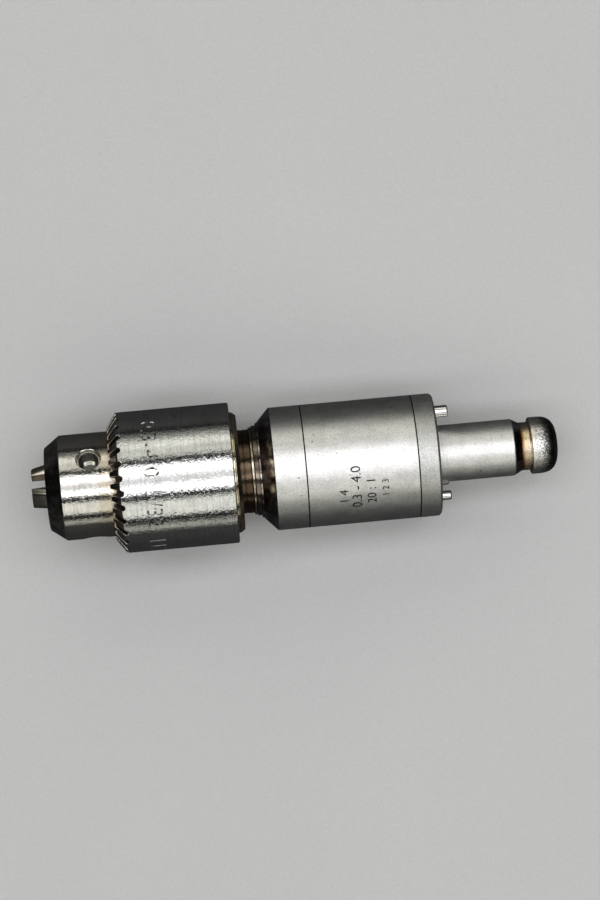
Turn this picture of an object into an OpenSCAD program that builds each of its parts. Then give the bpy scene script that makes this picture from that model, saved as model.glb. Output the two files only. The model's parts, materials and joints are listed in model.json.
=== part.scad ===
// Keyed three-jaw drill chuck on a reduction attachment for a powered handpiece.
// Millimetres. The spindle axis is X, with the jaws at -X and the coupling head at +X.
// The origin is the centre of the rear seat face, which the coupling shank leaves.
// Angles around the axis are measured from +Z towards +Y.

/* [Chuck] */
// Outside diameter of the toothed sleeve
sleeve_d = 22.2; // [22:0.1:23]
// Teeth on the front bevel of the sleeve
sleeve_teeth = 30; // [24:1:32]
// Diameter of the chuck body in front of the sleeve
chuck_d = 16.6; // [16.5:0.05:16.7]
// Length of the chuck body, nose face to rear flange
chuck_len = 30.4; // [30.2:0.1:31.5]
// Diameter of the pilot holes for the chuck key
key_hole_d = 3.2; // [2.8:0.1:3.4]
// Distance from the nose face to the key holes
key_hole_setback = 7; // [6.6:0.1:7.2]
// Angle of the first key hole around the axis
key_hole_angle = 30.6; // [0:0.1:119]
// Diameter of a jaw
jaw_d = 4; // [3.8:0.05:4]
// Angle between a jaw and the spindle axis
jaw_tilt = 14; // [13.8:0.1:14.2]
// Distance from the spindle axis to a jaw's gripping land
jaw_open_r = 1.47; // [1.1:0.01:1.9]
// Axial pitch of the thread between the split nut and the jaws
nut_pitch = 1.25; // [1.2:0.01:1.3]

/* [Housing] */
// Outside diameter of the housing
housing_d = 19.4; // [19.2:0.1:20]
// Length of the rear ring
rear_ring_len = 3.4; // [3.3:0.05:3.6]
// Length of the plain middle shell
shell_len = 17.5; // [17.4:0.05:17.6]
// Length of the front ring
front_ring_len = 7.2; // [7.2:0.1:7.6]
// Bore of the housing shell
shell_bore_d = 16.4; // [16.4:0.05:16.8]
// Length of the rotating neck between the chuck and the front ring
neck_len = 2.9; // [2.9:0.1:3.2]
// Diameter of the neck
neck_d = 13.2; // [12.6:0.1:13.6]

/* [Gearbox] */
// Gear module of both planetary stages
gear_module = 0.33; // [0.32:0.005:0.33]
// Teeth on each sun gear
sun_teeth = 12; // [12:3:12]
// Teeth on each planet gear
planet_teeth = 15; // [15:3:15]
// Diameter of the planet pins
planet_pin_d = 1.6; // [1.4:0.1:1.7]
// Diameter of the input shaft
input_d = 3; // [2.8:0.1:3]

/* [Shank] */
// Diameter of the coupling shank
shank_d = 9; // [8.8:0.1:9.2]
// Length of the full shank diameter behind the seat face
shank_len = 12.1; // [12:0.1:13]
// Diameter of the latch groove
groove_d = 7.6; // [7.4:0.1:7.8]
// Width of the latch groove
groove_len = 1.5; // [1.4:0.1:1.8]
// Diameter of the domed coupling head
head_d = 9; // [8.8:0.1:9]
// Length of the domed coupling head
head_len = 4.3; // [4.2:0.1:5]

/* [Locating pins] */
// Distance from the spindle axis to each locating pin
pin_circle_r = 7.3; // [7:0.1:7.6]
// Length of each pin behind the seat face
pin_out = 2.2; // [1.5:0.1:3]
// Diameter of the large pin
large_pin_d = 1.85; // [1.6:0.05:2]
// Diameter of the two small pins
small_pin_d = 1.5; // [1.2:0.05:1.6]
// Angle of the large pin around the axis
large_pin_angle = 66; // [0:1:180]

/* [Hidden] */
$fn = 96;

// Stations along the axis, from the seat face forwards
rear_joint_x = -rear_ring_len;
front_joint_x = rear_joint_x - shell_len;
lip_x = front_joint_x - front_ring_len;
chuck_rear_x = lip_x - neck_len;
nose_x = chuck_rear_x - chuck_len;

// Radii of the outer pieces
sleeve_r = sleeve_d / 2;
chuck_r = chuck_d / 2;
housing_r = housing_d / 2;
shell_bore_r = shell_bore_d / 2;
neck_r = neck_d / 2;
joint_bevel = 0.1;
eps = 0.01;
far = 60;

// Chuck body: nose cone, key holes, nut groove and the tapered seat on the spindle
nose_face_r = 6.5;
nose_cone_len = 2.45;
through_bore_r = 2.2;
through_bore_len = 17;
pilot_bore_r = 1.2;
nut_front = 13;
nut_len = 5;
nut_r = 9.6;
groove_bottom_r = 5.6;
groove_side = 0.1;
rear_land_r = nut_r - 0.05;
flange_r = nut_r + 0.04;
flange_len = 0.8;
taper_big_r = 3.175;
taper_small_r = 2.905;
taper_len = 11.2;
taper_start_x = chuck_rear_x - taper_len;
key_hole_bottom_r = 4.3;
key_sink_r = key_hole_d / 2 + 0.45;

// Jaws: a tilted rod with a gripping wedge in front and nut teeth outside
jaw_r = jaw_d / 2;
jaw_hole_r = jaw_r + 0.05;
jaw_hole_end = 22.7;
jaw_rod_start = -6;
jaw_rod_end = 20.2;
jaw_tip = -2.35;
jaw_tip_r = 3.25;
jaw_chamfer = 0.2;
jaw_axis_r0 = 1.92;
jaw_land_half = 0.2;
jaw_wedge_half_angle = 60;
jaw_first_angle = key_hole_angle + 60;
jaw_teeth_start = 10.4;
tooth_root_h = 1.05;
tooth_crest_h = 1.65;
tooth_base_w = 0.8;
tooth_top_w = 0.4;
nut_crest_h = tooth_root_h + 0.1;
nut_root_h = tooth_crest_h + 0.1;
nut_base_w = 0.62;
nut_top_w = 0.22;
nut_kerf = 0.2;
nut_step = 12;

// Sleeve: bevel teeth in front, a step that seats the nut behind
sleeve_front = 10.1;
sleeve_rear_gap = 0.24;
sleeve_tip_r = 8.95;
sleeve_bevel_len = 1.5;
sleeve_bore_r = chuck_r + 0.06;
gullet_w = 1;
half_gullet_w = gullet_w / 2;
gullet_flare = 0.12;
gullet_front_x = 0.9;
gullet_rear_x = 2.04;
first_gullet_angle = 3.4;
sleeve_edge = 0.25;

// Neck and seal
collar_hub_r = 4.4;
collar_len = 1.65;
collar_ring_r = neck_r + 0.3;
collar_ring_len = 0.4;
seal_cap_r = 7.1;
seal_bore_r = 5.9;
seal_len = 1.9;

// Spindle bearings, 7 x 13 x 4, with a thin spacer between them
journal_r = 3.5;
race_r = 6.5;
bearing_len = 4;
spacer_len = 0.4;
ball_r = 1;
ball_circle_r = (journal_r + race_r) / 2;
ball_count = 9;
race_gap = 0.6;
cage_wall = 0.38;
cage_len = 2.9;
bearing_a_x = lip_x + 2.8;
bearing_b_x = bearing_a_x + bearing_len + spacer_len;
flange_front_x = bearing_b_x + bearing_len;

// Gear train: two equal planetary stages that share one ring gear
ring_teeth = sun_teeth + 2 * planet_teeth;
planet_orbit_r = gear_module * (sun_teeth + planet_teeth) / 2;
pressure_angle = 20;
addendum = 0.78 * gear_module;
dedendum = 1.12 * gear_module;
half_backlash = 0.035;
flank_steps = 4;
planet_pin_r = planet_pin_d / 2;
planet_bore_r = planet_pin_r + 0.05;
planet_spacing = 120;
carrier_r = 5.9;
plate_hole_r = 2.7;
ring_gear_start = flange_front_x + 1.6;
ring_gear_end = rear_joint_x - 2.2;
output_plate_x = flange_front_x + 0.3;
output_plate_end = output_plate_x + 1.5;
output_planet_x = output_plate_end + 0.4;
output_planet_end = output_planet_x + 3.6;
output_cover_x = output_planet_end + 0.2;
pin_plate_len = 0.5;
first_plate_x = output_cover_x + pin_plate_len + 0.2;
first_plate_end = first_plate_x + 1.2;
first_planet_x = first_plate_end + 0.2;
first_planet_end = first_planet_x + 2.6;
first_cover_x = first_planet_end + 0.2;
pilot_r = 0.9;
pilot_fit = 0.05;

// Input bearings, 3 x 6 x 2
input_r = input_d / 2;
small_race_r = 3;
small_bearing_len = 2;
small_ball_r = 0.4;
small_ball_circle_r = (input_r + small_race_r) / 2;
small_ball_count = 8;
input_bearing_x = -3;
tail_bearing_x = 9;
hex_start_x = 15.4;
hex_end_x = 17.6;
hex_r = 1.35;

// Shank and head
shank_r = shank_d / 2;
shank_spigot_r = shank_r + 0.25;
shank_spigot_len = 1;
shank_bore_r = 2;
shank_cone_len = 1.3;
groove_r = groove_d / 2;
groove_x = shank_len + shank_cone_len;
head_x = groove_x + groove_len;
head_r = head_d / 2;
head_rim_len = 0.9;
head_end_x = head_x + head_len;
head_bore_r = 1.7;
head_edge = 0.15;
head_squareness = 3.1;

// Joint seals
joint_seal_r = 0.35;
front_seal_x = front_joint_x + 2.1;
rear_seal_x = rear_joint_x - 1.2;
seal_circle_r = shell_bore_r - joint_seal_r;

// Locating pins, with a thicker seat pressed into the rear ring
pin_depth = 2.4;
pin_dome = 0.3;
pin_seat_extra = 0.3;

// Distance of a jaw's own axis from the spindle axis at a distance from the nose
function jaw_axis_r(n) = jaw_axis_r0 + n * tan(jaw_tilt);

// A point of the thread between nut and jaws, by distance from the nose and height over the jaw axis
function thread_point(n, h) = [nose_x + n, jaw_axis_r(n) + h];

// Angle of a jaw around the spindle axis
function jaw_angle(k) = jaw_first_angle - 120 * (k - 1);

// Degrees of an involute's polar angle at radius r from base radius rb
function involute(r, rb) = let (a = acos(min(1, rb / r))) tan(a) * 180 / PI - a;

// Half the angle that a tooth takes up at radius r
function half_tooth(r, teeth, gap) =
    let (pitch_r = gear_module * teeth / 2)
    let (rb = pitch_r * cos(pressure_angle))
    90 / teeth - gap / pitch_r * 180 / PI + involute(pitch_r, rb) - involute(max(r, rb), rb);

// Outline of a gear whose first tooth is centred on angle 0
function gear_outline(teeth, root_r, tip_r, gap) =
    let (rb = gear_module * teeth / 2 * cos(pressure_angle))
    let (low = max(root_r, rb))
    let (radii = [for (i = [0 : flank_steps]) low + (tip_r - low) * i / flank_steps])
    let (flank = concat(root_r < low ? [root_r] : [], radii))
    let (count = len(flank))
    [
        for (t = [0 : teeth - 1], i = [0 : 2 * count - 1])
        let (r = i < count ? flank[i] : flank[2 * count - 1 - i])
        let (side = i < count ? -1 : 1)
        let (a = t * 360 / teeth + side * half_tooth(r, teeth, gap))
        [r * cos(a), r * sin(a)]
    ];

// Solid of revolution about the spindle axis, from points [x, radius]
module turned(points) {
    rotate([0, 90, 0])
    rotate_extrude()
    polygon([for (p = points) [p[1], p[0]]]);
}

// Plain ring about the spindle axis
module ring(x0, x1, inner_r, outer_r) {
    turned([[x0, inner_r], [x0, outer_r], [x1, outer_r], [x1, inner_r]]);
}

// Stands children that rise along +Z along the spindle axis
module along_axis(x) {
    translate([x, 0, 0])
    rotate([0, 90, 0])
    children();
}

// Turns children that point to +Z to an angle around the spindle axis
module at_angle(angle) {
    rotate([-angle, 0, 0])
    children();
}

module rod(x0, x1, r) {
    along_axis(x0)
    cylinder(h = x1 - x0, r = r);
}

// Places children on the orbit of planet k
module on_orbit(k) {
    rotate([planet_spacing * (k - 1), 0, 0])
    translate([0, 0, -planet_orbit_r])
    children();
}

module chuck_blank() {
    groove_x0 = nose_x + nut_front - groove_side;
    groove_x1 = nose_x + nut_front + nut_len + groove_side;
    turned([
        [nose_x, through_bore_r + 0.3],
        [nose_x, nose_face_r],
        [nose_x + nose_cone_len, chuck_r],
        [groove_x0, chuck_r],
        [groove_x0, groove_bottom_r],
        [groove_x1, groove_bottom_r],
        [groove_x1, rear_land_r],
        [chuck_rear_x - flange_len, rear_land_r],
        [chuck_rear_x - flange_len, flange_r],
        [chuck_rear_x, flange_r - 0.6],
        [chuck_rear_x, taper_big_r],
        [taper_start_x, taper_small_r],
        [taper_start_x, pilot_bore_r],
        [nose_x + through_bore_len, pilot_bore_r],
        [nose_x + through_bore_len, through_bore_r],
        [nose_x + 0.3, through_bore_r],
    ]);
}

// A rod along a jaw's own axis, between two distances from the nose
module jaw_rod(n0, n1, r) {
    translate([nose_x + n0, 0, jaw_axis_r(n0)])
    rotate([0, 90 - jaw_tilt, 0])
    cylinder(h = (n1 - n0) / cos(jaw_tilt), r = r);
}

module key_hole() {
    translate([nose_x + key_hole_setback, 0, key_hole_bottom_r])
    cylinder(h = chuck_r, r = key_hole_d / 2);
    translate([nose_x + key_hole_setback, 0, chuck_r - 0.5])
    cylinder(h = 1, r1 = key_hole_d / 2, r2 = key_sink_r + 0.45);
}

module chuck_body() {
    color("gainsboro")
    difference() {
        chuck_blank();
        for (k = [1 : 3]) {
            at_angle(jaw_angle(k)) jaw_rod(jaw_rod_start, jaw_hole_end, jaw_hole_r);
            at_angle(key_hole_angle + 120 * k) key_hole();
        }
    }
}

// Wedge across the jaw that leaves its gripping land and two flats at 120 degrees
module jaw_wedge() {
    spread = tan(jaw_wedge_half_angle);
    height = 20;
    translate([nose_x + jaw_tip, 0, 0])
    rotate([90, 0, 90])
    linear_extrude(height = far)
    polygon([
        [-jaw_land_half, jaw_open_r],
        [jaw_land_half, jaw_open_r],
        [jaw_land_half + (height - jaw_open_r) * spread, height],
        [-jaw_land_half - (height - jaw_open_r) * spread, height],
    ]);
}

// Everything outside the jaw's teeth, over their length
module jaw_thread_cut(k) {
    clearance_h = 4;
    turns = floor((jaw_rod_end - jaw_teeth_start) / nut_pitch);
    phase = (0.5 - jaw_angle(k) / 360) * nut_pitch;
    first = nut_front + phase + floor((jaw_teeth_start - nut_front - phase) / nut_pitch + 1) * nut_pitch;
    teeth = [
        for (i = [0 : turns - 1])
        let (n = first + i * nut_pitch)
        each [
            thread_point(n - tooth_base_w / 2, tooth_root_h),
            thread_point(n - tooth_top_w / 2, tooth_crest_h),
            thread_point(n + tooth_top_w / 2, tooth_crest_h),
            thread_point(n + tooth_base_w / 2, tooth_root_h),
        ]
    ];
    start = first - tooth_base_w;
    turned(concat(
        [thread_point(start, clearance_h), thread_point(start, tooth_root_h)],
        teeth,
        [thread_point(jaw_rod_end + 2, tooth_root_h), thread_point(jaw_rod_end + 2, clearance_h)]
    ));
}

module jaw(k) {
    tip_x = nose_x + jaw_tip;
    color("silver")
    at_angle(jaw_angle(k))
    difference() {
        intersection() {
            jaw_rod(jaw_rod_start, jaw_rod_end, jaw_r);
            jaw_wedge();
            turned([
                [tip_x, 0],
                [tip_x, jaw_tip_r],
                [tip_x + jaw_chamfer, jaw_tip_r + jaw_chamfer],
                [tip_x + jaw_chamfer, chuck_r + jaw_r],
                [chuck_rear_x, chuck_r + jaw_r],
                [chuck_rear_x, 0],
            ]);
        }
        jaw_thread_cut(k);
    }
}

module jaw_1() {
    jaw(1);
}

module jaw_2() {
    jaw(2);
}

module jaw_3() {
    jaw(3);
}

// One point row of the nut's thread: where the thread meets the half-plane at an angle
function thread_row(angle) = [
    for (i = [-2 : ceil(nut_len / nut_pitch) + 1])
    let (n = nut_front + (i + angle / 360) * nut_pitch)
    each [
        thread_point(n - nut_base_w / 2, nut_root_h),
        thread_point(n - nut_top_w / 2, nut_crest_h),
        thread_point(n + nut_top_w / 2, nut_crest_h),
        thread_point(n + nut_base_w / 2, nut_root_h),
    ]
];

// The threaded hole in the nut, as a wedge that starts at an angle and covers half a turn
module nut_thread_space(start) {
    steps = ceil(200 / nut_step);
    core_r = 2;
    rows = [
        for (s = [0 : steps])
        let (angle = start + s * nut_step)
        let (row = thread_row(angle))
        let (last = len(row) - 1)
        [
            for (p = concat([[row[0][0], core_r]], row, [[row[last][0], core_r]]))
            [p[0], -p[1] * sin(angle), p[1] * cos(angle)]
        ]
    ];
    width = len(rows[0]);
    points = [for (row = rows) each row];
    sides = [
        for (s = [0 : steps - 1], i = [0 : width - 1])
        let (j = (i + 1) % width)
        let (a = s * width)
        let (b = a + width)
        each [[a + i, a + j, b + i], [a + j, b + j, b + i]]
    ];
    caps = [[for (i = [width - 1 : -1 : 0]) i], [for (i = [0 : width - 1]) steps * width + i]];
    polyhedron(points = points, faces = concat(sides, caps), convexity = 8);
}

module nut_half(turn) {
    color("dimgray")
    difference() {
        ring(nose_x + nut_front, nose_x + nut_front + nut_len, groove_bottom_r + 0.1, nut_r);
        rotate([turn, 0, 0])
        translate([nose_x, nut_kerf / -2, -far / 2])
        cube([far, far, far]);
        nut_thread_space(turn - 10);
    }
}

module nut_half_a() {
    nut_half(0);
}

module nut_half_b() {
    nut_half(180);
}

// Space between two bevel teeth, with flared walls and a round floor that rises from the bore to the rim
module gullet() {
    depth = 4;
    outer_w = half_gullet_w + gullet_flare * depth;
    front_x = nose_x + sleeve_front;
    fall = gullet_rear_x - gullet_front_x;
    rise = sleeve_r - sleeve_bore_r;
    translate([front_x + gullet_front_x - half_gullet_w, 0, sleeve_bore_r])
    rotate([0, atan2(fall, rise), 0])
    translate([0, 0, -2])
    union() {
        cylinder(h = 8, r = half_gullet_w);
        linear_extrude(height = 8)
        polygon([[0, -half_gullet_w], [0, half_gullet_w], [-depth, outer_w], [-depth, -outer_w]]);
    }
}

module geared_sleeve() {
    front_x = nose_x + sleeve_front;
    rear_x = chuck_rear_x - flange_len - sleeve_rear_gap;
    seat_x = nose_x + nut_front - eps;
    color("lightgray")
    difference() {
        turned([
            [front_x, sleeve_bore_r],
            [front_x, sleeve_tip_r],
            [front_x + sleeve_bevel_len, sleeve_r],
            [rear_x - sleeve_edge, sleeve_r],
            [rear_x, sleeve_r - sleeve_edge],
            [rear_x, nut_r],
            [seat_x, nut_r],
            [seat_x, sleeve_bore_r],
        ]);
        for (k = [0 : sleeve_teeth - 1]) {
            at_angle(first_gullet_angle + k * 360 / sleeve_teeth) gullet();
        }
    }
}

module spindle() {
    taper_gap = 0.2;
    taper_slope = (taper_big_r - taper_small_r) / taper_len;
    color("silver")
    difference() {
        turned([
            [taper_start_x + taper_gap, 0],
            [taper_start_x + taper_gap, taper_small_r + taper_slope * taper_gap],
            [chuck_rear_x, taper_big_r],
            [chuck_rear_x, journal_r],
            [flange_front_x, journal_r],
            [flange_front_x, collar_hub_r],
            [output_plate_x, collar_hub_r],
            [output_plate_x, carrier_r],
            [output_plate_end, carrier_r],
            [output_plate_end, pilot_r + pilot_fit],
            [output_plate_end - 1.2, pilot_r + pilot_fit],
            [output_plate_end - 1.2, 0],
        ]);
        for (k = [1 : 3]) {
            on_orbit(k) rod(output_plate_x - 1, output_plate_end + 1, planet_pin_r);
        }
    }
}

module neck_collar() {
    ring_x = chuck_rear_x + collar_len + 0.1;
    color("silver")
    turned([
        [chuck_rear_x, journal_r],
        [chuck_rear_x, neck_r - joint_bevel],
        [chuck_rear_x + joint_bevel, neck_r],
        [chuck_rear_x + collar_len, neck_r],
        [ring_x, neck_r - joint_bevel],
        [ring_x, collar_ring_r],
        [ring_x + collar_ring_len, collar_ring_r],
        [ring_x + collar_ring_len, collar_hub_r],
        [bearing_a_x, collar_hub_r],
        [bearing_a_x, journal_r],
    ]);
}

// The three pins of one stage
module planet_pins(x0, x1) {
    for (k = [1 : 3]) {
        on_orbit(k) rod(x0, x1, planet_pin_r);
    }
}

// Ring that ties the free ends of a stage's pins
module pin_plate(x0) {
    difference() {
        ring(x0, x0 + pin_plate_len, plate_hole_r, carrier_r);
        planet_pins(x0 - 1, x0 + pin_plate_len + 1);
    }
}

module output_planet_pins() {
    color("silver")
    planet_pins(output_plate_x, output_cover_x + pin_plate_len);
}

module output_pin_plate() {
    color("goldenrod")
    pin_plate(output_cover_x);
}

module seal_cap() {
    gap = 0.15;
    cap_x = chuck_rear_x + collar_len + collar_ring_len + gap;
    color("darkgray")
    turned([
        [cap_x, collar_hub_r + gap],
        [cap_x, seal_cap_r],
        [lip_x, seal_cap_r],
        [lip_x, seal_bore_r],
        [bearing_a_x - seal_len - 0.3, seal_bore_r],
        [bearing_a_x - seal_len - 0.3, collar_hub_r + gap],
    ]);
}

module shaft_seal() {
    color("dimgray")
    ring(bearing_a_x - seal_len - 0.25, bearing_a_x - 0.25, collar_hub_r + 0.03, seal_bore_r);
}

// Groove that a row of balls runs in, cut from a race
module ball_track(x, circle_r, r) {
    along_axis(x)
    rotate_extrude()
    translate([circle_r, 0])
    circle(r = r + 0.03);
}

module inner_race(x, len, bore_r, circle_r, r) {
    color("silver")
    difference() {
        ring(x, x + len, bore_r, circle_r - r * race_gap);
        ball_track(x + len / 2, circle_r, r);
    }
}

module outer_race(x, len, outer_r, circle_r, r) {
    color("silver")
    difference() {
        ring(x, x + len, circle_r + r * race_gap, outer_r);
        ball_track(x + len / 2, circle_r, r);
    }
}

module ball_row(x, count, circle_r, r) {
    color("gainsboro")
    for (k = [0 : count - 1]) {
        at_angle(k * 360 / count) translate([x, 0, circle_r]) sphere(r = r);
    }
}

module cage(x) {
    pocket_r = ball_r + 0.06;
    color("darkgoldenrod")
    difference() {
        ring(x - cage_len / 2, x + cage_len / 2, ball_circle_r - cage_wall, ball_circle_r + cage_wall);
        ball_row(x, ball_count, ball_circle_r, pocket_r);
    }
}

module front_bearing_inner_race() {
    inner_race(bearing_a_x, bearing_len, journal_r, ball_circle_r, ball_r);
}

module front_bearing_balls() {
    ball_row(bearing_a_x + bearing_len / 2, ball_count, ball_circle_r, ball_r);
}

module front_bearing_cage() {
    cage(bearing_a_x + bearing_len / 2);
}

module front_bearing_outer_race() {
    outer_race(bearing_a_x, bearing_len, race_r, ball_circle_r, ball_r);
}

module bearing_spacer_inner() {
    color("silver")
    ring(bearing_b_x - spacer_len, bearing_b_x, journal_r, collar_hub_r);
}

module bearing_spacer_outer() {
    color("silver")
    ring(bearing_b_x - spacer_len, bearing_b_x, race_r - 0.9, race_r);
}

module second_bearing_inner_race() {
    inner_race(bearing_b_x, bearing_len, journal_r, ball_circle_r, ball_r);
}

module second_bearing_balls() {
    ball_row(bearing_b_x + bearing_len / 2, ball_count, ball_circle_r, ball_r);
}

module second_bearing_cage() {
    cage(bearing_b_x + bearing_len / 2);
}

module second_bearing_outer_race() {
    outer_race(bearing_b_x, bearing_len, race_r, ball_circle_r, ball_r);
}

module bearing_clamp_ring() {
    color("gray")
    ring(flange_front_x, ring_gear_start, carrier_r + 0.15, shell_bore_r);
}

// Groove for a joint seal in a spigot
module seal_groove(x) {
    half_w = joint_seal_r + 0.05;
    ring(x - half_w, x + half_w, seal_circle_r - joint_seal_r, shell_bore_r + 1);
}

module joint_seal(x) {
    color("black")
    along_axis(x)
    rotate_extrude()
    translate([seal_circle_r, 0])
    circle(r = joint_seal_r);
}

module front_ring() {
    lip_r = 7.5;
    cone_r = lip_r + 0.2;
    cone_x = lip_x + 0.4;
    body_x = lip_x + 2.3;
    color("lightgray")
    difference() {
        turned([
            [lip_x, seal_bore_r],
            [lip_x, lip_r],
            [cone_x - 0.1, lip_r],
            [cone_x, cone_r],
            [body_x, housing_r],
            [front_joint_x - joint_bevel, housing_r],
            [front_joint_x, housing_r - joint_bevel],
            [front_joint_x, shell_bore_r],
            [flange_front_x, shell_bore_r],
            [flange_front_x, race_r],
            [bearing_a_x, race_r],
            [bearing_a_x, seal_bore_r],
        ]);
        seal_groove(front_seal_x);
    }
}

module front_joint_seal() {
    joint_seal(front_seal_x);
}

module housing_shell() {
    color("lightgray")
    turned([
        [front_joint_x, shell_bore_r],
        [front_joint_x, housing_r - joint_bevel],
        [front_joint_x + joint_bevel, housing_r],
        [rear_joint_x - joint_bevel, housing_r],
        [rear_joint_x, housing_r - joint_bevel],
        [rear_joint_x, shell_bore_r],
    ]);
}

module rear_joint_seal() {
    joint_seal(rear_seal_x);
}

// Places children, which stand along +X, where a locating pin is
module at_pin(angle) {
    at_angle(angle)
    translate([0, 0, pin_circle_r])
    children();
}

// Large pin, the pin opposite it and the pin beside that one
function pin_angle(k) = large_pin_angle + [0, 180, 150][k];
function pin_r(k) = (k == 0 ? large_pin_d : small_pin_d) / 2;

module rear_ring() {
    rim = 0.3;
    spigot_wall = 1.2;
    color("lightgray")
    difference() {
        turned([
            [ring_gear_end, shell_bore_r - spigot_wall],
            [ring_gear_end, shell_bore_r],
            [rear_joint_x, shell_bore_r],
            [rear_joint_x, housing_r - joint_bevel],
            [rear_joint_x + joint_bevel, housing_r],
            [-rim, housing_r],
            [0, housing_r - rim],
            [0, shank_spigot_r],
            [-shank_spigot_len, shank_spigot_r],
            [-shank_spigot_len, small_race_r],
            [input_bearing_x, small_race_r],
            [input_bearing_x, small_race_r - 0.6],
            [rear_joint_x, small_race_r - 0.6],
            [rear_joint_x, shell_bore_r - spigot_wall],
        ]);
        seal_groove(rear_seal_x);
        for (k = [0 : 2]) {
            at_pin(pin_angle(k)) rod(-pin_depth, 1, pin_r(k) + pin_seat_extra);
        }
    }
}

module sun_outline() {
    r = gear_module * sun_teeth / 2;
    polygon(gear_outline(sun_teeth, r - dedendum, r + addendum, half_backlash));
}

module planet_outline() {
    r = gear_module * planet_teeth / 2;
    polygon(gear_outline(planet_teeth, r - dedendum, r + addendum, half_backlash));
}

module ring_gear() {
    r = gear_module * ring_teeth / 2;
    gear_len = ring_gear_end - ring_gear_start;
    color("gray")
    along_axis(ring_gear_start)
    difference() {
        cylinder(h = gear_len, r = shell_bore_r);
        translate([0, 0, -1])
        linear_extrude(height = gear_len + 2)
        polygon(gear_outline(ring_teeth, r - addendum, r + dedendum, -half_backlash));
    }
}

module planet(k, x0, x1) {
    color("goldenrod")
    on_orbit(k)
    along_axis(x0)
    difference() {
        linear_extrude(height = x1 - x0)
        planet_outline();
        translate([0, 0, -1])
        cylinder(h = x1 - x0 + 2, r = planet_bore_r);
    }
}

module output_planet_1() {
    planet(1, output_planet_x, output_planet_end);
}

module output_planet_2() {
    planet(2, output_planet_x, output_planet_end);
}

module output_planet_3() {
    planet(3, output_planet_x, output_planet_end);
}

module first_carrier() {
    pilot_x = output_plate_end - 1;
    color("silver")
    difference() {
        union() {
            rod(pilot_x, output_planet_x, pilot_r);
            along_axis(output_planet_x)
            linear_extrude(height = first_plate_x - output_planet_x)
            sun_outline();
            rod(first_plate_x, first_plate_end, carrier_r);
        }
        rod(first_plate_end - 0.9, first_plate_end + 1, pilot_r + pilot_fit);
        planet_pins(first_plate_x - 1, first_plate_end + 1);
    }
}

module first_planet_pins() {
    color("silver")
    planet_pins(first_plate_x, first_cover_x + pin_plate_len);
}

module first_pin_plate() {
    color("goldenrod")
    pin_plate(first_cover_x);
}

module first_planet_1() {
    planet(1, first_planet_x, first_planet_end);
}

module first_planet_2() {
    planet(2, first_planet_x, first_planet_end);
}

module first_planet_3() {
    planet(3, first_planet_x, first_planet_end);
}

module input_shaft() {
    color("silver")
    union() {
        rod(first_plate_end - 0.7, first_planet_x, pilot_r);
        along_axis(first_planet_x)
        linear_extrude(height = first_planet_end - first_planet_x)
        sun_outline();
        rod(first_planet_end, hex_start_x, input_r);
        along_axis(hex_start_x)
        cylinder(h = hex_end_x - hex_start_x, r = hex_r, $fn = 6);
    }
}

module input_bearing_inner_race() {
    inner_race(input_bearing_x, small_bearing_len, input_r, small_ball_circle_r, small_ball_r);
}

module input_bearing_balls() {
    ball_row(input_bearing_x + small_bearing_len / 2, small_ball_count, small_ball_circle_r, small_ball_r);
}

module input_bearing_outer_race() {
    outer_race(input_bearing_x, small_bearing_len, small_race_r, small_ball_circle_r, small_ball_r);
}

module tail_bearing_inner_race() {
    inner_race(tail_bearing_x, small_bearing_len, input_r, small_ball_circle_r, small_ball_r);
}

module tail_bearing_balls() {
    ball_row(tail_bearing_x + small_bearing_len / 2, small_ball_count, small_ball_circle_r, small_ball_r);
}

module tail_bearing_outer_race() {
    outer_race(tail_bearing_x, small_bearing_len, small_race_r, small_ball_circle_r, small_ball_r);
}

module locating_pin(k) {
    r = pin_r(k);
    color("gainsboro")
    at_pin(pin_angle(k))
    turned([
        [-pin_depth, 0],
        [-pin_depth, r + pin_seat_extra],
        [0, r + pin_seat_extra],
        [0, r],
        [pin_out - pin_dome, r],
        [pin_out - pin_dome / 3, r - pin_dome / 3],
        [pin_out, r - pin_dome],
        [pin_out, 0],
    ]);
}

module locating_pin_large() {
    locating_pin(0);
}

module locating_pins_small() {
    locating_pin(1);
    locating_pin(2);
}

module coupling_shank() {
    tail_seat_end = tail_bearing_x + small_bearing_len;
    color("lightgray")
    turned([
        [-shank_spigot_len, shank_bore_r],
        [-shank_spigot_len, shank_spigot_r],
        [0, shank_spigot_r],
        [0, shank_r],
        [shank_len, shank_r],
        [groove_x, groove_r],
        [groove_x, small_race_r],
        [tail_bearing_x, small_race_r],
        [tail_bearing_x, shank_bore_r],
    ]);
}

// Head profile: a short rim, then a blunt dome that ends at the bore
module coupling_head() {
    spigot_x = tail_bearing_x + small_bearing_len;
    dome_x = head_x + head_rim_len;
    power = 2 / head_squareness;
    last = acos(pow(head_bore_r / head_r, 1 / power));
    dome_len = (head_end_x - dome_x) / pow(sin(last), power);
    dome = [
        for (i = [0 : 20])
        let (a = last * i / 20)
        [dome_x + dome_len * pow(sin(a), power), head_r * pow(cos(a), power)]
    ];
    color("gray")
    turned(concat(
        [
            [spigot_x, shank_bore_r],
            [spigot_x, small_race_r],
            [groove_x, small_race_r],
            [groove_x, groove_r],
            [head_x, groove_r],
            [head_x, head_r - head_edge],
            [head_x + head_edge, head_r],
        ],
        dome,
        [
            [hex_end_x, head_bore_r],
            [hex_end_x, shank_bore_r],
        ]
    ));
}

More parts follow.
